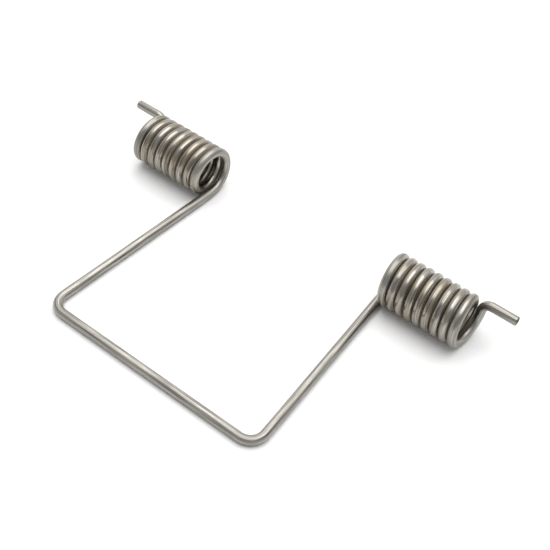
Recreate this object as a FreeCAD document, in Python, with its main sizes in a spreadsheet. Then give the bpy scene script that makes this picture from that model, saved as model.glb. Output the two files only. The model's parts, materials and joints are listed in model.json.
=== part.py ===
import FreeCAD, Part
import Sketcher
import math
import os

# Double torsion spring of a vacuum cleaner, bent from one length of round wire.
# Millimetres, +Z up. The spring lies flat: base bar, arms and both coils rest on z = 0.
# The coils share one axis along X. The origin is under the middle of the box around the spring.
# The right half of the wire's centreline is drawn and mirrored, and a round section is swept along it.

NODE = "double_torsion_spring"
PARTS_FOLDER = "parts"

# Driving sizes: alias, value in millimetres unless the note says otherwise, note.
SIZES = (
    ("wire_diameter", 1.6, "round spring wire"),
    ("coil_bore", 6.1, "inside diameter of each coil"),
    ("full_turns", 9, "whole turns in each coil, a count"),
    ("last_turn_angle", 85, "degrees that a coil runs on past its whole turns"),
    ("turn_gap", 0.04, "clear gap between neighbouring turns"),
    ("coil_spacing", 37.0, "between the first turns of the two coils"),
    ("arm_reach", 37.6, "from the coil axis to the base bar"),
    ("base_width", 41.4, "between the points where the arms' lines meet the base bar's line"),
    ("corner_inside_radius", 1.85, "inside bend between base bar and arm"),
    ("arm_exit_radius", 18.4, "centreline of the slight bend from an arm into its coil"),
    ("leg_rise", 0.5, "straight wire between a coil's end and its leg's bend"),
    ("leg_inside_radius", 0.8, "inside bend of each leg"),
    ("leg_length", 4.4, "straight end of each leg, along the coil axis"),
)

# Sizes that follow from the driving ones, as expressions.
WIRE_RADIUS = "(sizes.wire_diameter / 2)"
COIL_RADIUS = f"(sizes.coil_bore / 2 + {WIRE_RADIUS})"
CORNER_RADIUS = f"(sizes.corner_inside_radius + {WIRE_RADIUS})"
LEG_RADIUS = f"(sizes.leg_inside_radius + {WIRE_RADIUS})"
PITCH = "(sizes.wire_diameter + sizes.turn_gap)"
LEAD = f"atan({PITCH} / (2 * pi * {COIL_RADIUS}))"
LAST_TURN = "(sizes.last_turn_angle * 1deg)"
COIL_LENGTH = f"({PITCH} * (sizes.full_turns + sizes.last_turn_angle / 360))"

# From the coil's end to the corner of its leg, and from the coil axis out to the leg. The furthest
# wire beyond the coil axis and the base bar lie equally far from the origin.
LEG_CORNER = f"(sizes.leg_rise + {LEG_RADIUS} * tan((90deg - {LEAD}) / 2))"
LEG_REACH = f"({COIL_RADIUS} * sin({LAST_TURN}) + cos({LEAD}) * cos({LAST_TURN}) * {LEG_CORNER})"
AXIS_Y = f"((sizes.arm_reach - max({COIL_RADIUS}; {LEG_REACH})) / 2)"
AXIS_Z = f"({WIRE_RADIUS} + {COIL_RADIUS})"

OUTWARD = FreeCAD.Vector(1, 0, 0)
TOWARDS_COILS = FreeCAD.Vector(0, 1, 0)
DOWN = FreeCAD.Vector(0, 0, -1)

# Names for the numbers by which a sketch refers to its points and axes.
START, END, CENTRE = 1, 2, 3
SKETCH_ORIGIN = (-1, START)
SKETCH_Y_AXIS = -2


def make_sheet(doc):
    """Keep the driving sizes in a spreadsheet, one alias to a row."""
    sheet = doc.addObject("Spreadsheet::Sheet", "sizes")
    for row, (alias, value, note) in enumerate(SIZES, start=1):
        sheet.set(f"A{row}", alias)
        sheet.set(f"B{row}", str(value))
        sheet.set(f"C{row}", note)
        sheet.setAlias(f"B{row}", alias)
    doc.recompute()
    return sheet


def place(item, along_x, along_y, along_z):
    """Bind an object's position to expressions."""
    item.setExpression("Placement.Base.x", along_x)
    item.setExpression("Placement.Base.y", along_y)
    item.setExpression("Placement.Base.z", along_z)


def line(sketch, start, end, construction=False):
    """Rough line for the constraints to set right."""
    segment = Part.LineSegment(FreeCAD.Vector(*start, 0), FreeCAD.Vector(*end, 0))
    return sketch.addGeometry(segment, construction)


def arc(sketch, start, middle, end):
    """Rough arc for the constraints to set right; a clockwise one is stored from its end."""
    points = [FreeCAD.Vector(*point, 0) for point in (start, middle, end)]
    return sketch.addGeometry(Part.Arc(*points))


def tie(sketch, *rule):
    """Geometric constraint."""
    sketch.addConstraint(Sketcher.Constraint(*rule))


def size(sketch, expression, *rule):
    """Dimension whose value follows an expression; the last item of the rule is its first value."""
    index = sketch.addConstraint(Sketcher.Constraint(*rule))
    sketch.setExpression(f"Constraints[{index}]", expression)


def make_frame_line(doc):
    """Half of the flat U: base bar from its middle, corner, arm and the slight bend into the coil."""
    sketch = doc.addObject("Sketcher::SketchObject", "frame_line")
    place(sketch, "0", "0", WIRE_RADIUS)
    base = line(sketch, (0, -20.8), (18.2, -20.8))
    corner = arc(sketch, (18.2, -20.8), (20, -20), (20.6, -18.3))
    arm = line(sketch, (20.6, -18.3), (18.5, 14.4))
    lead_in = arc(sketch, (18.5, 14.4), (18.4, 15.6), (18.5, 16.8))
    spoke = line(sketch, (18.5, 16.8), (36.9, 15.6), construction=True)
    crossing = sketch.addGeometry(Part.Point(FreeCAD.Vector(20.7, -20.8, 0)), True)

    tie(sketch, "PointOnObject", base, START, SKETCH_Y_AXIS)
    tie(sketch, "Horizontal", base)
    tie(sketch, "Tangent", base, END, corner, START)
    tie(sketch, "Tangent", corner, END, arm, START)
    tie(sketch, "Tangent", arm, END, lead_in, END)
    tie(sketch, "Coincident", spoke, START, lead_in, START)
    tie(sketch, "Coincident", spoke, END, lead_in, CENTRE)
    tie(sketch, "PointOnObject", crossing, START, base)
    tie(sketch, "PointOnObject", crossing, START, arm)

    size(sketch, "sizes.base_width / 2", "DistanceX", *SKETCH_ORIGIN, crossing, START, 20.7)
    size(sketch, CORNER_RADIUS, "Radius", corner, 2.65)
    size(sketch, "sizes.arm_exit_radius", "Radius", lead_in, 18.4)
    size(sketch, "sizes.coil_spacing / 2", "DistanceX", *SKETCH_ORIGIN, spoke, START, 18.5)
    size(sketch, AXIS_Y, "DistanceY", *SKETCH_ORIGIN, spoke, START, 16.8)
    size(sketch, "sizes.arm_reach", "DistanceY", base, START, spoke, START, 37.6)
    size(sketch, f"-{LEAD}", "Angle", spoke, math.radians(-3.9))
    return sketch


def make_coil_line(doc):
    """Helix of the right coil, wound along the floor, up the far side and back over the top."""
    helix = doc.addObject("Part::Helix", "coil_line")
    helix.setExpression("Radius", COIL_RADIUS)
    helix.setExpression("Pitch", PITCH)
    helix.setExpression("Height", COIL_LENGTH)
    helix.Placement.Rotation = FreeCAD.Rotation(DOWN, TOWARDS_COILS, OUTWARD)
    place(helix, "sizes.coil_spacing / 2", AXIS_Y, AXIS_Z)
    return helix


def make_leg_line(doc):
    """Right leg: a short rise from the coil's end and a bend outward, along the coil axis."""
    sketch = doc.addObject("Sketcher::SketchObject", "leg_line")
    sketch.Placement.Rotation = FreeCAD.Rotation(OUTWARD, 85)
    sketch.setExpression("Placement.Rotation.Angle", LAST_TURN)
    place(
        sketch,
        f"sizes.coil_spacing / 2 + {COIL_LENGTH}",
        f"{AXIS_Y} + {COIL_RADIUS} * sin({LAST_TURN})",
        f"{AXIS_Z} - {COIL_RADIUS} * cos({LAST_TURN})",
    )
    rise = line(sketch, (0, 0), (0.03, 0.5))
    elbow = arc(sketch, (0.03, 0.5), (0.5, 1.5), (1.6, 2.1))
    leg = line(sketch, (1.6, 2.1), (6, 2.1))

    tie(sketch, "Coincident", rise, START, *SKETCH_ORIGIN)
    tie(sketch, "Tangent", rise, END, elbow, END)
    tie(sketch, "Tangent", elbow, START, leg, START)
    tie(sketch, "Horizontal", leg)

    size(sketch, f"90deg - {LEAD}", "Angle", rise, math.radians(86))
    size(sketch, "sizes.leg_rise", "Distance", rise, 0.5)
    size(sketch, LEG_RADIUS, "Radius", elbow, 1.6)
    size(sketch, "sizes.leg_length", "Distance", leg, 4.4)
    return sketch


def make_centreline(doc, lines):
    """Join the right half's lines with their mirror images."""
    right = doc.addObject("Part::Compound", "right_half")
    right.Links = lines
    left = doc.addObject("Part::Mirroring", "left_half")
    left.Source = right
    left.Normal = OUTWARD
    centreline = doc.addObject("Part::Compound", "centreline")
    centreline.Links = [left, right]
    return centreline


def make_spring(doc, centreline, leg_line):
    """Round wire swept as one solid along the centreline, from the tip of the right leg."""
    section = doc.addObject("Part::Circle", "wire_section")
    section.setExpression("Radius", WIRE_RADIUS)
    section.AttachmentSupport = [(leg_line, "Edge3")]
    section.MapMode = "NormalToEdge"
    section.MapPathParameter = 1.0
    spring = doc.addObject("Part::Sweep", NODE)
    spring.Label = NODE
    spring.Sections = [section]
    spring.Spine = (centreline, [])
    spring.Solid = True
    spring.Frenet = False
    return spring


def check(doc, spring):
    """Stop before anything is written if an object failed or the spring isn't one sound solid."""
    for item in doc.Objects:
        if "Invalid" in item.State or "Error" in item.State:
            raise RuntimeError(f"{item.Label} failed: {item.State}")
    shape = spring.Shape
    if shape.isNull() or not shape.isValid() or len(shape.Solids) != 1:
        raise RuntimeError(f"{spring.Label} is not one valid solid")


def main():
    doc = FreeCAD.newDocument("spring")
    make_sheet(doc)
    leg_line = make_leg_line(doc)
    centreline = make_centreline(doc, [make_frame_line(doc), make_coil_line(doc), leg_line])
    spring = make_spring(doc, centreline, leg_line)
    doc.recompute()
    check(doc, spring)
    os.makedirs(PARTS_FOLDER, exist_ok=True)
    spring.Shape.exportStep(f"{PARTS_FOLDER}/{spring.Label}.step")
    print(f"{spring.Label}: wire {centreline.Shape.Length:.1f} mm, volume {spring.Shape.Volume:.1f} mm3")


main()
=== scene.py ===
import json
import math

import bmesh
import bpy
from mathutils import Matrix, Vector


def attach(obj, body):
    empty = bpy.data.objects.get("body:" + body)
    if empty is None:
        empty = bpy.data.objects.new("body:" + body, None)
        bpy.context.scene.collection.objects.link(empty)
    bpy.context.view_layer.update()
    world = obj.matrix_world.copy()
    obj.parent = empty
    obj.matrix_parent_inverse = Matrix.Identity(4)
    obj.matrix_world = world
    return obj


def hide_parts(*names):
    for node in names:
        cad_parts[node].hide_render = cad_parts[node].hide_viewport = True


bl_info = {
    "name": "Double torsion spring",
    "version": (1, 0, 0),
    "blender": (4, 5, 0),
    "location": "View3D > Sidebar > Spring",
    "description": "Builds a wire double torsion spring and the small studio that it lies in",
    "category": "Object",
}

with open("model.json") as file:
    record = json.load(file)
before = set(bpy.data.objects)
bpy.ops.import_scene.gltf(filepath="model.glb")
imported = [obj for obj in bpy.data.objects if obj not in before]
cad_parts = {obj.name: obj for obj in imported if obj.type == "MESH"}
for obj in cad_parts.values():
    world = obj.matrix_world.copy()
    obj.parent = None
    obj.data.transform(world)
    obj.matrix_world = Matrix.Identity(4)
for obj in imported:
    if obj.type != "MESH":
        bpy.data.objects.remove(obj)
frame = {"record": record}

MM = 0.001
NODE = "double_torsion_spring"

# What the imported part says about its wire: a leg, the coils' shared axis and the base bar.
MOUNTS = {mount["name"]: mount for mount in frame["record"]["mounts"]}
WIRE_RADIUS = MOUNTS["right_leg"]["dims"]["r_mm"] * MM
LEG_LENGTH = MOUNTS["right_leg"]["dims"]["length_mm"] * MM
COIL_AXIS = Vector(MOUNTS["right_coil"]["pos_m"])
BASE_BAR = Vector(MOUNTS["base_bar"]["pos_m"])

OUTWARD = Vector((1, 0, 0))
UP = Vector((0, 0, 1))

# Points nearer than this are one point.
WELD = 0.001 * MM

# Bends up to this angle between two faces are shaded as one round surface.
ROUND_ANGLE = math.radians(38)

# The wire's wall has faces of four corners; the face that closes a cut end has many more.
WALL_CORNERS = 4

# Steps in the rounding of a cut end's edge.
RIM_STEPS = 3

# Rings of the cup in a cut end: how much of its radius and of its depth each takes up.
CUP_RINGS = ((1 / 3, 0.6), (1 / 3, 0.4))

# Every point of a cut end lies nearer to its middle than this.
END_REACH = 1.1 * WIRE_RADIUS


def linear(hex_colour):
    """Linear RGBA of an sRGB hex colour, by the numbers of the sRGB standard."""
    channels = [int(hex_colour[i:i + 2], 16) / 255 for i in (0, 2, 4)]
    lit = [c / 12.92 if c <= 0.04045 else ((c + 0.055) / 1.055) ** 2.4 for c in channels]
    return (*lit, 1.0)


WHITE = linear("FFFFFF")


class SpringSizes(bpy.types.PropertyGroup):
    """Sizes of the bent wire and the colours of its steel."""

    coil_spacing: bpy.props.FloatProperty(
        name="Coil spacing", description="Between the first turns of the two coils",
        default=37.0 * MM, unit="LENGTH", precision=5)
    full_turns: bpy.props.IntProperty(
        name="Full turns", description="Whole turns in each coil", default=9, min=1)
    last_turn_angle: bpy.props.FloatProperty(
        name="Last turn", description="How far a coil runs on past its whole turns",
        default=math.radians(85), unit="ROTATION", subtype="ANGLE")
    turn_gap: bpy.props.FloatProperty(
        name="Turn gap", description="Clear gap between neighbouring turns",
        default=0.04 * MM, unit="LENGTH", precision=5)
    base_width: bpy.props.FloatProperty(
        name="Base width",
        description="Between the points where the arms' lines meet the base bar's line",
        default=41.4 * MM, unit="LENGTH", precision=5)
    corner_inside_radius: bpy.props.FloatProperty(
        name="Corner radius", description="Inside bend between base bar and arm",
        default=1.85 * MM, unit="LENGTH", precision=5)
    arm_exit_run: bpy.props.FloatProperty(
        name="Arm exit run", description="From a coil's first turn back to the arm's line",
        default=1.2 * MM, unit="LENGTH", precision=5)
    leg_rise: bpy.props.FloatProperty(
        name="Leg rise", description="Straight wire between a coil's end and its leg's bend",
        default=0.5 * MM, unit="LENGTH", precision=5)
    leg_inside_radius: bpy.props.FloatProperty(
        name="Leg bend radius", description="Inside bend of each leg",
        default=0.8 * MM, unit="LENGTH", precision=5)
    rim_bevel: bpy.props.FloatProperty(
        name="Rim bevel", description="Rounding left by the shear on each cut end",
        default=0.14 * MM, unit="LENGTH", precision=5)
    cup_radius: bpy.props.FloatProperty(
        name="Cup radius", description="Mouth of the shallow cup left by the shear in each cut end",
        default=0.42 * MM, unit="LENGTH", precision=5)
    cup_depth: bpy.props.FloatProperty(
        name="Cup depth", description="Depth of that cup",
        default=0.16 * MM, unit="LENGTH", precision=5)
    steel_colour: bpy.props.FloatVectorProperty(
        name="Steel", description="Bright drawn wire",
        default=linear("A19E98"), size=4, min=0.0, max=1.0, subtype="COLOR")
    straw_colour: bpy.props.FloatVectorProperty(
        name="Straw tint", description="Where the oxide skin is a little thicker",
        default=linear("938B7D"), size=4, min=0.0, max=1.0, subtype="COLOR")
    # Painted shade: a dull brown colour on the flanks of the turns where neighbouring turns touch.
    groove_shade_colour: bpy.props.FloatVectorProperty(
        name="Groove shade", description="Painted shade on the flanks where neighbouring turns touch",
        default=linear("837661"), size=4, min=0.0, max=1.0, subtype="COLOR")
    torn_colour: bpy.props.FloatVectorProperty(
        name="Torn end", description="Dull face that the shear leaves on each cut end",
        default=linear("4A443C"), size=4, min=0.0, max=1.0, subtype="COLOR")
    wire_sides: bpy.props.IntProperty(
        name="Wire sides", description="Points round the wire", default=40, min=8)
    turn_steps: bpy.props.IntProperty(
        name="Turn steps", description="Rings in one whole turn", default=90, min=12)
    straight_step: bpy.props.FloatProperty(
        name="Straight step", description="Distance between rings along a straight run",
        default=2.0 * MM, unit="LENGTH", precision=5)


class Wire:
    """Round wire that grows ring by ring in a bmesh, as it is fed through a bending machine."""

    def __init__(self, sizes, start, heading, side):
        self.sizes = sizes
        self.mesh = bmesh.new()
        self.unbent = self.mesh.verts.layers.float_vector.new("unbent")
        self.place = start.copy()
        self.heading = heading.copy()
        self.side = side.copy()
        self.fed = 0.0
        self.coil_start = 0.0
        self.coil_end = 0.0
        self.turn_length = 0.0
        across = self.heading.cross(self.side)
        turn = Matrix((self.side, across, self.heading)).transposed().to_4x4()
        bmesh.ops.create_circle(
            self.mesh, cap_ends=False, segments=sizes.wire_sides, radius=WIRE_RADIUS,
            matrix=Matrix.Translation(start) @ turn)
        self.rim = list(self.mesh.verts) + list(self.mesh.edges)
        self.mark(self.mesh.verts)

    def ring(self):
        """Points of the newest ring."""
        return [item for item in self.rim if isinstance(item, bmesh.types.BMVert)]

    def mark(self, points):
        """Store on new points where they lay in the wire before it was bent."""
        across = self.heading.cross(self.side)
        for point in points:
            offset = point.co - self.place
            point[self.unbent] = Vector((
                offset.dot(self.side),
                offset.dot(across),
                self.fed + offset.dot(self.heading),
            ))

    def advance(self, centre, axis, angle, slide, length):
        """One more ring, turned about an axis and slid, that uses up a length of wire."""
        grown = bmesh.ops.spin(
            self.mesh, geom=self.rim, cent=centre, axis=axis, dvec=slide, angle=angle,
            steps=1, use_merge=False, use_duplicate=False)
        self.rim = grown["geom_last"]
        turn = Matrix.Rotation(angle, 3, axis)
        self.place = centre + turn @ (self.place - centre) + slide
        self.heading = turn @ self.heading
        self.side = turn @ self.side
        self.fed += length
        self.mark(self.ring())

    def feed(self, length):
        """Straight wire, a ring at every step."""
        steps = max(1, round(length / self.sizes.straight_step))
        step = length / steps
        for _ in range(steps):
            self.advance(Vector(), self.heading, 0.0, self.heading * step, step)

    def steps_in(self, angle):
        """Number of rings in a bend through an angle."""
        return max(1, round(self.sizes.turn_steps * angle / math.tau))

    def bend(self, new_heading, radius):
        """Bend of the given centreline radius, ending along the new heading."""
        axis = self.heading.cross(new_heading).normalized()
        angle = self.heading.angle(new_heading)
        centre = self.place + axis.cross(self.heading) * radius
        steps = self.steps_in(angle)
        for _ in range(steps):
            self.advance(centre, axis, angle / steps, Vector(), radius * angle / steps)

    def wind(self, centre, axis, angle, pitch):
        """Part of a coil about an axis, at most one turn of it, and its points."""
        steps = self.steps_in(angle)
        share = angle / math.tau / steps
        around = (self.place - centre).cross(axis).length * math.tau * share
        length = math.hypot(around, pitch * share)
        points = []
        for _ in range(steps):
            self.advance(centre, axis, angle / steps, axis * pitch * share, length)
            points.extend(self.ring())
        return points

    def coil(self, centre, axis, full_turns, last_angle, pitch):
        """Close-wound coil: one turn is wound and then repeated a pitch further on each time."""
        start = self.ring()
        self.coil_start = self.fed
        points = self.wind(centre, axis, math.tau, pitch)
        self.turn_length = self.fed - self.coil_start
        faces = list({face for point in points for face in point.link_faces})
        edges = list({edge for face in faces for edge in face.edges})
        geometry = start + points + edges + faces
        for turn in range(1, full_turns):
            copy = bmesh.ops.duplicate(self.mesh, geom=geometry)
            copied = [item for item in copy["geom"] if isinstance(item, bmesh.types.BMVert)]
            bmesh.ops.translate(self.mesh, verts=copied, vec=axis * pitch * turn)
            for point in copied:
                point[self.unbent].z += self.turn_length * turn
        if full_turns > 1:
            twins = {**dict(copy["vert_map"].items()), **dict(copy["edge_map"].items())}
            self.rim = [twins[item] for item in self.rim]
        self.place += axis * pitch * (full_turns - 1)
        self.fed += self.turn_length * (full_turns - 1)
        self.wind(centre, axis, last_angle, pitch)
        self.coil_end = self.fed

    def cut(self):
        """Sheared end: closed, its edge rounded over, with the shallow cup of torn metal."""
        edges = [item for item in self.rim if isinstance(item, bmesh.types.BMEdge)]
        bmesh.ops.edgeloop_fill(self.mesh, edges=edges)
        bmesh.ops.bevel(
            self.mesh, geom=edges, offset=self.sizes.rim_bevel, offset_type="OFFSET",
            segments=RIM_STEPS, profile=0.5, affect="EDGES", material=-1)
        cap = [face for face in self.mesh.faces if len(face.verts) > WALL_CORNERS]
        for face in cap:
            if face.normal.dot(self.heading) < 0:
                face.normal_flip()
        flat_ring = WIRE_RADIUS - self.sizes.rim_bevel - self.sizes.cup_radius
        bmesh.ops.inset_individual(self.mesh, faces=cap, thickness=flat_ring, depth=0.0)
        for width, drop in CUP_RINGS:
            bmesh.ops.inset_individual(
                self.mesh, faces=cap, thickness=width * self.sizes.cup_radius,
                depth=-drop * self.sizes.cup_depth)
        self.mark([
            point for point in self.mesh.verts if (point.co - self.place).length < END_REACH])


def bend_right_half(sizes):
    """Half the spring, from the middle of the base bar to the tip of the right leg."""
    pitch = 2 * WIRE_RADIUS + sizes.turn_gap
    coil_radius = COIL_AXIS.z - WIRE_RADIUS
    lead = math.atan2(pitch, math.tau * coil_radius)
    into_coil = Vector((math.sin(lead), math.cos(lead), 0))

    first_point = Vector((sizes.coil_spacing / 2, COIL_AXIS.y, WIRE_RADIUS))
    exit_corner = first_point - into_coil * sizes.arm_exit_run
    base_corner = Vector((sizes.base_width / 2, BASE_BAR.y, WIRE_RADIUS))
    arm = (exit_corner - base_corner).normalized()
    corner_radius = sizes.corner_inside_radius + WIRE_RADIUS
    corner_run = corner_radius * math.tan(arm.angle(OUTWARD) / 2)
    exit_radius = sizes.arm_exit_run / math.tan(arm.angle(into_coil) / 2)
    arm_length = (exit_corner - base_corner).length - corner_run - sizes.arm_exit_run

    wire = Wire(sizes, BASE_BAR, OUTWARD, UP)
    wire.feed(sizes.base_width / 2 - corner_run)
    wire.bend(arm, corner_radius)
    wire.feed(arm_length)
    wire.bend(into_coil, exit_radius)
    axis_point = Vector((first_point.x, COIL_AXIS.y, COIL_AXIS.z))
    wire.coil(axis_point, OUTWARD, sizes.full_turns, sizes.last_turn_angle, pitch)
    wire.feed(sizes.leg_rise)
    wire.bend(OUTWARD, sizes.leg_inside_radius + WIRE_RADIUS)
    wire.feed(LEG_LENGTH)
    wire.cut()
    return wire


def mirror_to_left(wire):
    """Add the left half as the right one's mirror image, joined at the middle of the base bar."""
    mesh = wire.mesh
    geometry = list(mesh.verts) + list(mesh.edges) + list(mesh.faces)
    bmesh.ops.mirror(mesh, geom=geometry, matrix=Matrix.Identity(4), merge_dist=WELD, axis="X")
    bmesh.ops.remove_doubles(mesh, verts=mesh.verts, dist=WELD)
    bmesh.ops.recalc_face_normals(mesh, faces=mesh.faces)
    for point in mesh.verts:
        if point.co.x < 0:
            point[wire.unbent].z = -point[wire.unbent].z


def add_node(tree, kind, inputs=(), **settings):
    """One node with its settings, and values or other nodes' outputs for its inputs.

    The inputs are named, or else they come in the order of the node's sockets.
    """
    node = tree.nodes.new(kind)
    for name, value in settings.items():
        setattr(node, name, value)
    sockets = inputs.items() if isinstance(inputs, dict) else enumerate(inputs)
    for socket, value in sockets:
        if isinstance(value, bpy.types.NodeSocket):
            tree.links.new(value, node.inputs[socket])
        else:
            node.inputs[socket].default_value = value
    return node


def new_material(name):
    """Empty node material and its tree."""
    material = bpy.data.materials.new(name)
    material.use_nodes = True
    material.node_tree.nodes.clear()
    return material, material.node_tree


# A Map Range node with this setting changes smoothly from one value to the other.
SMOOTH = {"interpolation_type": "SMOOTHSTEP"}

# Sockets of a Mix node that mixes colours, which share their names with other sockets.
MIX_SHARE, MIX_UNDER, MIX_OVER, MIXED = 0, 6, 7, 2

# Size of each pattern's cells: twice across the wire and once along it, or along the three axes.
# The die's lines are finer than 0.02 mm; they are drawn 0.15 mm wide, so that they show.
DIE_LINE_CELL = (0.15 * MM, 0.15 * MM, 7 * MM)
# Smears of soap and oxide, some millimetres long, that the coiling rollers pressed flat.
SMEAR_CELL = (0.9 * MM, 0.9 * MM, 3.5 * MM)
# Grain of the skin, as fine as a picture of the whole spring can show.
GRAIN_CELL = (0.22 * MM, 0.22 * MM, 0.22 * MM)

# Readings of a pattern: nearly all lie in the first range, and a patch fades in over the second.
SPREAD = (0.30, 0.70)
PATCH = (0.34, 0.60)

# Share of the straw tint that wire has before it is coiled.
STRAIGHT_TINT = 0.2

# Brightness of the steel in its darkest and in its lightest line.
LINE_SHADE = (0.56, 1.16)

# Painted shade in the grooves starts this far out on the flanks of a turn, and is full where the
# next turn touches.
GROOVE_SHADE_EDGE = 0.76 * WIRE_RADIUS

# Part of a turn over which the marks of coiling fade out at each end of a coil.
COIL_FADE = 0.5

# The painted groove shade is dull and not metal, and leaves this much of the metal under it bare.
GROOVE_SHADE_BARE = 0.30

# The torn face of a cut end fades in within the cup, and out again on the rounded edge.
TORN_INSIDE = (0.22 * WIRE_RADIUS, 0.40 * WIRE_RADIUS)
TORN_OUTSIDE = (0.90 * WIRE_RADIUS, 0.97 * WIRE_RADIUS)

# Roughness of clean and of smeared wire, and what coiling, the die's lines and a tear add to it.
SMEAR_ROUGHNESS = (0.29, 0.45)
COIL_ROUGHNESS = -0.11
LINE_ROUGHNESS = (-0.05, 0.05)
TORN_ROUGHNESS = 0.15

# Height of the die's lines, and of the grain against them.
LINE_HEIGHT = 0.014 * MM
GRAIN_SHARE = 0.35


def uneven(tree, coordinates, cell):
    """Uneven pattern whose cells measure the given lengths along the three coordinates."""
    cells = tuple(1 / length for length in cell)
    scaled = add_node(tree, "ShaderNodeVectorMath", (coordinates, cells), operation="MULTIPLY")
    return add_node(tree, "ShaderNodeTexNoise", {
        "Vector": scaled.outputs["Vector"],
        "Scale": 1.0,
    }).outputs["Fac"]


def coil_share(tree, fed, wire):
    """1 on the turns that have a neighbour on both sides, by the length of wire fed so far."""
    one_turn_in = wire.coil_start + wire.turn_length
    one_turn_left = wire.coil_end - wire.turn_length
    fade = COIL_FADE * wire.turn_length
    entered = add_node(
        tree, "ShaderNodeMapRange", (fed, one_turn_in - fade, one_turn_in), **SMOOTH)
    staying = add_node(
        tree, "ShaderNodeMapRange", (fed, one_turn_left, one_turn_left + fade, 1.0, 0.0), **SMOOTH)
    both = (entered.outputs["Result"], staying.outputs["Result"])
    return add_node(tree, "ShaderNodeMath", both, operation="MULTIPLY").outputs["Value"]


def torn_face(tree, unbent):
    """1 on the torn face of a cut end, between the bottom of its cup and its rounded edge."""
    across = add_node(
        tree, "ShaderNodeVectorMath", (unbent, (1.0, 1.0, 0.0)), operation="MULTIPLY")
    off_centre = add_node(
        tree, "ShaderNodeVectorMath", (across.outputs["Vector"],), operation="LENGTH")
    reach = off_centre.outputs["Value"]
    within_rim = add_node(
        tree, "ShaderNodeMapRange", (reach, *TORN_OUTSIDE, 1.0, 0.0), **SMOOTH)
    past_cup = add_node(tree, "ShaderNodeMapRange", (reach, *TORN_INSIDE), **SMOOTH)
    both = (within_rim.outputs["Result"], past_cup.outputs["Result"])
    return add_node(tree, "ShaderNodeMath", both, operation="MULTIPLY").outputs["Value"]


def wire_colour(tree, sizes, lines, smears, coiled, groove, torn):
    """Steel, with straw smears, painted shade in the grooves and torn ends, darker along some
    lines.
    """
    smeared = add_node(tree, "ShaderNodeMapRange", (smears, *PATCH), **SMOOTH)
    tinted = add_node(
        tree, "ShaderNodeMapRange", (coiled, 0.0, 1.0, STRAIGHT_TINT, 1.0), **SMOOTH)
    both = (smeared.outputs["Result"], tinted.outputs["Result"])
    straw = add_node(tree, "ShaderNodeMath", both, operation="MULTIPLY").outputs["Value"]
    colour = tuple(sizes.steel_colour)
    for share, over in (
        (straw, sizes.straw_colour),
        # Painted shade in the grooves between the turns.
        (groove, sizes.groove_shade_colour),
        (torn, sizes.torn_colour),
    ):
        colour = add_node(tree, "ShaderNodeMix", {
            MIX_SHARE: share,
            MIX_UNDER: colour,
            MIX_OVER: tuple(over),
        }, data_type="RGBA").outputs[MIXED]
    shade = add_node(tree, "ShaderNodeMapRange", (lines, *PATCH, *LINE_SHADE), **SMOOTH)
    return add_node(tree, "ShaderNodeVectorMath", {
        "Vector": colour,
        "Scale": shade.outputs["Result"],
    }, operation="SCALE").outputs["Vector"]


def wire_roughness(tree, lines, smears, coiled, torn):
    """Roughness: that of smeared wire, less on the coils, uneven on the lines, more on the ends."""
    roughness = add_node(
        tree, "ShaderNodeMapRange", (smears, *SPREAD, *SMEAR_ROUGHNESS), **SMOOTH).outputs["Result"]
    for mapped in (
        (coiled, 0.0, 1.0, 0.0, COIL_ROUGHNESS),
        (lines, *SPREAD, *LINE_ROUGHNESS),
        (torn, 0.0, 1.0, 0.0, TORN_ROUGHNESS),
    ):
        change = add_node(tree, "ShaderNodeMapRange", mapped, **SMOOTH).outputs["Result"]
        total = add_node(tree, "ShaderNodeMath", (roughness, change), operation="ADD")
        roughness = total.outputs["Value"]
    return roughness


def drawn_stainless(sizes, wire):
    """Stainless spring wire, cold drawn and coiled bright: satin metal with lines along it."""
    material, tree = new_material("drawn_stainless_wire")
    place = add_node(tree, "ShaderNodeTexCoord").outputs["Object"]
    unbent = add_node(
        tree, "ShaderNodeAttribute", attribute_type="GEOMETRY", attribute_name="unbent",
    ).outputs["Vector"]
    lines = uneven(tree, unbent, DIE_LINE_CELL)
    smears = uneven(tree, unbent, SMEAR_CELL)
    grain = uneven(tree, place, GRAIN_CELL)

    straight = add_node(tree, "ShaderNodeSeparateXYZ", (unbent,))
    flank = add_node(tree, "ShaderNodeMath", (straight.outputs["Y"],), operation="ABSOLUTE")
    fed = add_node(tree, "ShaderNodeMath", (straight.outputs["Z"],), operation="ABSOLUTE")
    coiled = coil_share(tree, fed.outputs["Value"], wire)
    # Mask of the painted groove shade: the flanks where neighbouring turns touch.
    neighbour = add_node(
        tree, "ShaderNodeMapRange", (flank.outputs["Value"], GROOVE_SHADE_EDGE, WIRE_RADIUS), **SMOOTH)
    groove = add_node(
        tree, "ShaderNodeMath", (coiled, neighbour.outputs["Result"]), operation="MULTIPLY",
    ).outputs["Value"]
    torn = torn_face(tree, unbent)

    # Where the painted groove shade lies, the surface is less metal.
    bare = add_node(
        tree, "ShaderNodeMapRange", (groove, 0.0, 1.0, 1.0, GROOVE_SHADE_BARE), **SMOOTH)
    height = add_node(
        tree, "ShaderNodeMath", (grain, GRAIN_SHARE, lines), operation="MULTIPLY_ADD")
    bump = add_node(tree, "ShaderNodeBump", {
        "Height": height.outputs["Value"],
        "Distance": LINE_HEIGHT,
    })
    shader = add_node(tree, "ShaderNodeBsdfPrincipled", {
        "Base Color": wire_colour(tree, sizes, lines, smears, coiled, groove, torn),
        "Metallic": bare.outputs["Result"],
        "Roughness": wire_roughness(tree, lines, smears, coiled, torn),
        "Normal": bump.outputs["Normal"],
    })
    add_node(tree, "ShaderNodeOutputMaterial", {"Surface": shader.outputs["BSDF"]})
    return material


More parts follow.
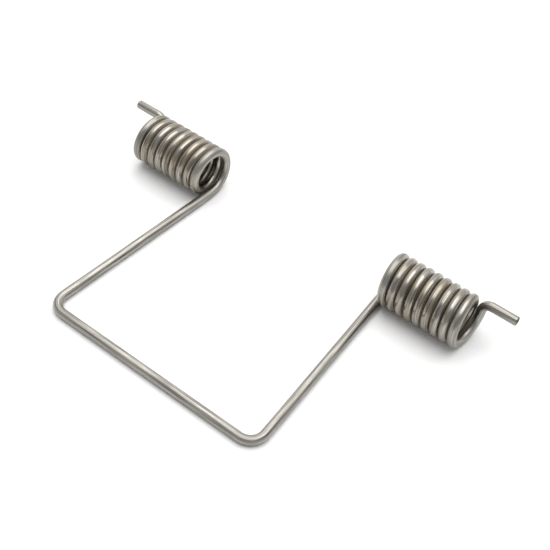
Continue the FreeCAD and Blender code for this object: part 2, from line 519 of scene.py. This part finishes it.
class SPRING_OT_wire(bpy.types.Operator):
    """Bend the wire: base bar, arms, coils and legs"""

    bl_idname = "spring.wire"
    bl_label = "Bend the wire"

    def execute(self, context):
        sizes = context.scene.spring_sizes
        wire = bend_right_half(sizes)
        mirror_to_left(wire)
        data = bpy.data.meshes.new("spring_wire")
        wire.mesh.to_mesh(data)
        wire.mesh.free()
        data.shade_smooth()
        data.set_sharp_from_angle(angle=ROUND_ANGLE)
        data.materials.append(drawn_stainless(sizes, wire))
        piece = bpy.data.objects.new("spring_wire", data)
        context.scene.collection.objects.link(piece)
        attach(piece, "root")
        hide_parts(NODE)
        return {"FINISHED"}


# Width of the camera's sensor in millimetres, and the nearest thing that the camera shows.
SENSOR_WIDTH = 36.0
NEAREST_SEEN = 1 * MM

# Roughness and gloss of matt paper.
PAPER_ROUGHNESS = 0.9
PAPER_GLOSS = 0.1

# Cosine of the angle from the room's brightest part at which the room is at its dimmest.
DIM_FROM = 0.2


class StudioSettings(bpy.types.PropertyGroup):
    """Camera, floor, soft box and room."""

    camera_turn: bpy.props.FloatProperty(
        name="Camera turn", description="Heading of the view, clockwise from +Y seen from above",
        default=-0.587, unit="ROTATION", subtype="ANGLE")
    camera_drop: bpy.props.FloatProperty(
        name="Camera drop", description="How far the view looks down from level",
        default=0.826, unit="ROTATION", subtype="ANGLE")
    camera_roll: bpy.props.FloatProperty(
        name="Camera roll", description="Clockwise turn of the picture",
        default=0.098, unit="ROTATION", subtype="ANGLE")
    camera_distance: bpy.props.FloatProperty(
        name="Camera distance", description="From the camera to the point it looks at",
        default=178.6 * MM, unit="LENGTH")
    camera_target: bpy.props.FloatVectorProperty(
        name="Camera target", description="Point on the floor at the middle of the picture",
        default=(1.907 * MM, 8.447 * MM, 0.0), unit="LENGTH", subtype="XYZ")
    camera_lens: bpy.props.FloatProperty(
        name="Camera lens", description="Focal length in millimetres on a sensor 36 mm wide",
        default=70.13, unit="CAMERA")
    floor_size: bpy.props.FloatProperty(
        name="Floor size", description="Side of the square floor", default=60.0, unit="LENGTH")
    floor_colour: bpy.props.FloatVectorProperty(
        name="Floor", description="White paper",
        default=linear("F5F5F5"), size=4, min=0.0, max=1.0, subtype="COLOR")
    floor_glow: bpy.props.FloatProperty(
        name="Floor glow", description="Glow that the eye and reflections see on the far floor",
        default=0.50, min=0.0, max=1.0)
    glow_start: bpy.props.FloatProperty(
        name="Glow start", description="From the spring to where that glow begins",
        default=0.15, unit="LENGTH")
    glow_end: bpy.props.FloatProperty(
        name="Glow end", description="From the spring to where that glow is full",
        default=0.70, unit="LENGTH")
    soft_box_place: bpy.props.FloatVectorProperty(
        name="Soft box place", description="Middle of the soft box over the spring",
        default=(2 * MM, 75 * MM, 340 * MM), unit="LENGTH", subtype="XYZ")
    soft_box_size: bpy.props.FloatProperty(
        name="Soft box size", description="Side of the square soft box",
        default=0.39, unit="LENGTH")
    soft_box_power: bpy.props.FloatProperty(
        name="Soft box power", description="Light that the soft box gives",
        default=0.92, unit="POWER")
    bright_side_height: bpy.props.FloatProperty(
        name="Bright side height", description="Height over level of the room's brightest part",
        default=math.radians(45), unit="ROTATION", subtype="ANGLE")
    far_room: bpy.props.FloatProperty(
        name="Far room", description="Brightness of the room where it is brightest", default=1.42)
    near_room: bpy.props.FloatProperty(
        name="Near room", description="Brightness of the room behind the camera", default=0.45)


def direction(turn, height):
    """Unit vector with the given turn, clockwise from +Y seen from above, and height over level."""
    level = math.cos(height)
    return Vector((math.sin(turn) * level, math.cos(turn) * level, math.sin(height)))


def look(settings):
    """Camera matrix from its turn, drop, roll, distance and target."""
    turn, roll = settings.camera_turn, settings.camera_roll
    ahead = direction(turn, -settings.camera_drop)
    level_right = Vector((math.cos(turn), -math.sin(turn), 0))
    down = ahead.cross(level_right)
    right = level_right * math.cos(roll) - down * math.sin(roll)
    up = -(level_right * math.sin(roll) + down * math.cos(roll))
    place = Vector(settings.camera_target) - ahead * settings.camera_distance
    turned = Matrix((right, up, -ahead)).transposed().to_4x4()
    return Matrix.Translation(place) @ turned


def seen_directly(tree):
    """1 for what the camera sees, straight or in metal or glass, and 0 for all other light."""
    path = add_node(tree, "ShaderNodeLightPath")
    seen = path.outputs["Is Camera Ray"]
    for ray in ("Is Glossy Ray", "Is Transmission Ray"):
        both = (seen, path.outputs[ray])
        seen = add_node(tree, "ShaderNodeMath", both, operation="MAXIMUM").outputs["Value"]
    return seen


def white_paper(settings):
    """Matt white paper, which is white to the eye past the soft box's light too."""
    material, tree = new_material("white_paper")
    place = add_node(tree, "ShaderNodeTexCoord").outputs["Object"]
    distance = add_node(tree, "ShaderNodeVectorMath", (place,), operation="LENGTH")
    glow = add_node(tree, "ShaderNodeMapRange", {
        "Value": distance.outputs["Value"],
        "From Min": settings.glow_start,
        "From Max": settings.glow_end,
        "To Max": settings.floor_glow,
    }, **SMOOTH)
    both = (seen_directly(tree), glow.outputs["Result"])
    seen_glow = add_node(tree, "ShaderNodeMath", both, operation="MULTIPLY")
    shader = add_node(tree, "ShaderNodeBsdfPrincipled", {
        "Base Color": tuple(settings.floor_colour),
        "Roughness": PAPER_ROUGHNESS,
        "Specular IOR Level": PAPER_GLOSS,
        "Emission Color": WHITE,
        "Emission Strength": seen_glow.outputs["Value"],
    })
    add_node(tree, "ShaderNodeOutputMaterial", {"Surface": shader.outputs["BSDF"]})
    return material


def studio_room(settings):
    """Room round the table: bright beyond the spring and dimmer behind the camera."""
    world = bpy.data.worlds.new("studio_room")
    world.use_nodes = True
    tree = world.node_tree
    tree.nodes.clear()
    towards = add_node(tree, "ShaderNodeTexCoord").outputs["Generated"]
    brightest = direction(settings.camera_turn, settings.bright_side_height)
    nearness = add_node(
        tree, "ShaderNodeVectorMath", (towards, brightest), operation="DOT_PRODUCT")
    brightness = add_node(tree, "ShaderNodeMapRange", {
        "Value": nearness.outputs["Value"],
        "From Min": DIM_FROM,
        "To Min": settings.near_room,
        "To Max": settings.far_room,
    })
    room = add_node(tree, "ShaderNodeBackground", {
        "Color": WHITE,
        "Strength": brightness.outputs["Result"],
    })
    add_node(tree, "ShaderNodeOutputWorld", {"Surface": room.outputs["Background"]})
    return world


def add_soft_box(context, settings):
    """Square soft box over the spring that shines straight down."""
    data = bpy.data.lights.new("soft_box", "AREA")
    data.size = settings.soft_box_size
    data.energy = settings.soft_box_power
    lamp = bpy.data.objects.new("soft_box", data)
    lamp.location = settings.soft_box_place
    context.scene.collection.objects.link(lamp)


def add_floor(context, settings):
    """Flat white floor that the spring lies on."""
    mesh = bmesh.new()
    bmesh.ops.create_grid(mesh, x_segments=1, y_segments=1, size=settings.floor_size / 2)
    data = bpy.data.meshes.new("floor")
    mesh.to_mesh(data)
    mesh.free()
    data.materials.append(white_paper(settings))
    floor = bpy.data.objects.new("floor", data)
    context.scene.collection.objects.link(floor)


def add_camera(context, settings):
    """Camera at the photograph's viewing angle."""
    lens = bpy.data.cameras.new("camera")
    lens.lens = settings.camera_lens
    lens.sensor_width = SENSOR_WIDTH
    lens.clip_start = NEAREST_SEEN
    camera = bpy.data.objects.new("camera", lens)
    camera.matrix_world = look(settings)
    context.scene.collection.objects.link(camera)
    context.scene.camera = camera


class SPRING_OT_stage(bpy.types.Operator):
    """Set the floor, the soft box, the room and the camera"""

    bl_idname = "spring.stage"
    bl_label = "Set the stage"

    def execute(self, context):
        settings = context.scene.spring_studio
        add_floor(context, settings)
        add_soft_box(context, settings)
        add_camera(context, settings)
        context.scene.world = studio_room(settings)
        context.scene.view_settings.view_transform = "Standard"
        return {"FINISHED"}


class SPRING_PT_panel(bpy.types.Panel):
    """Sizes and actions of the spring"""

    bl_idname = "SPRING_PT_panel"
    bl_label = "Double torsion spring"
    bl_space_type = "VIEW_3D"
    bl_region_type = "UI"
    bl_category = "Spring"

    def draw(self, context):
        for group in (context.scene.spring_sizes, context.scene.spring_studio):
            for name in group.bl_rna.properties.keys():
                if name not in {"rna_type", "name"}:
                    self.layout.prop(group, name)
        for operator in OPERATORS:
            self.layout.operator(operator.bl_idname)


OPERATORS = (SPRING_OT_wire, SPRING_OT_stage)
CLASSES = (SpringSizes, StudioSettings, *OPERATORS, SPRING_PT_panel)


def register():
    for cls in CLASSES:
        bpy.utils.register_class(cls)
    bpy.types.Scene.spring_sizes = bpy.props.PointerProperty(type=SpringSizes)
    bpy.types.Scene.spring_studio = bpy.props.PointerProperty(type=StudioSettings)


def unregister():
    del bpy.types.Scene.spring_studio
    del bpy.types.Scene.spring_sizes
    for cls in reversed(CLASSES):
        bpy.utils.unregister_class(cls)


def main():
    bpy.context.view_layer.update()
    register()
    bpy.ops.spring.wire()
    bpy.ops.spring.stage()


if __name__ == "__main__":
    main()
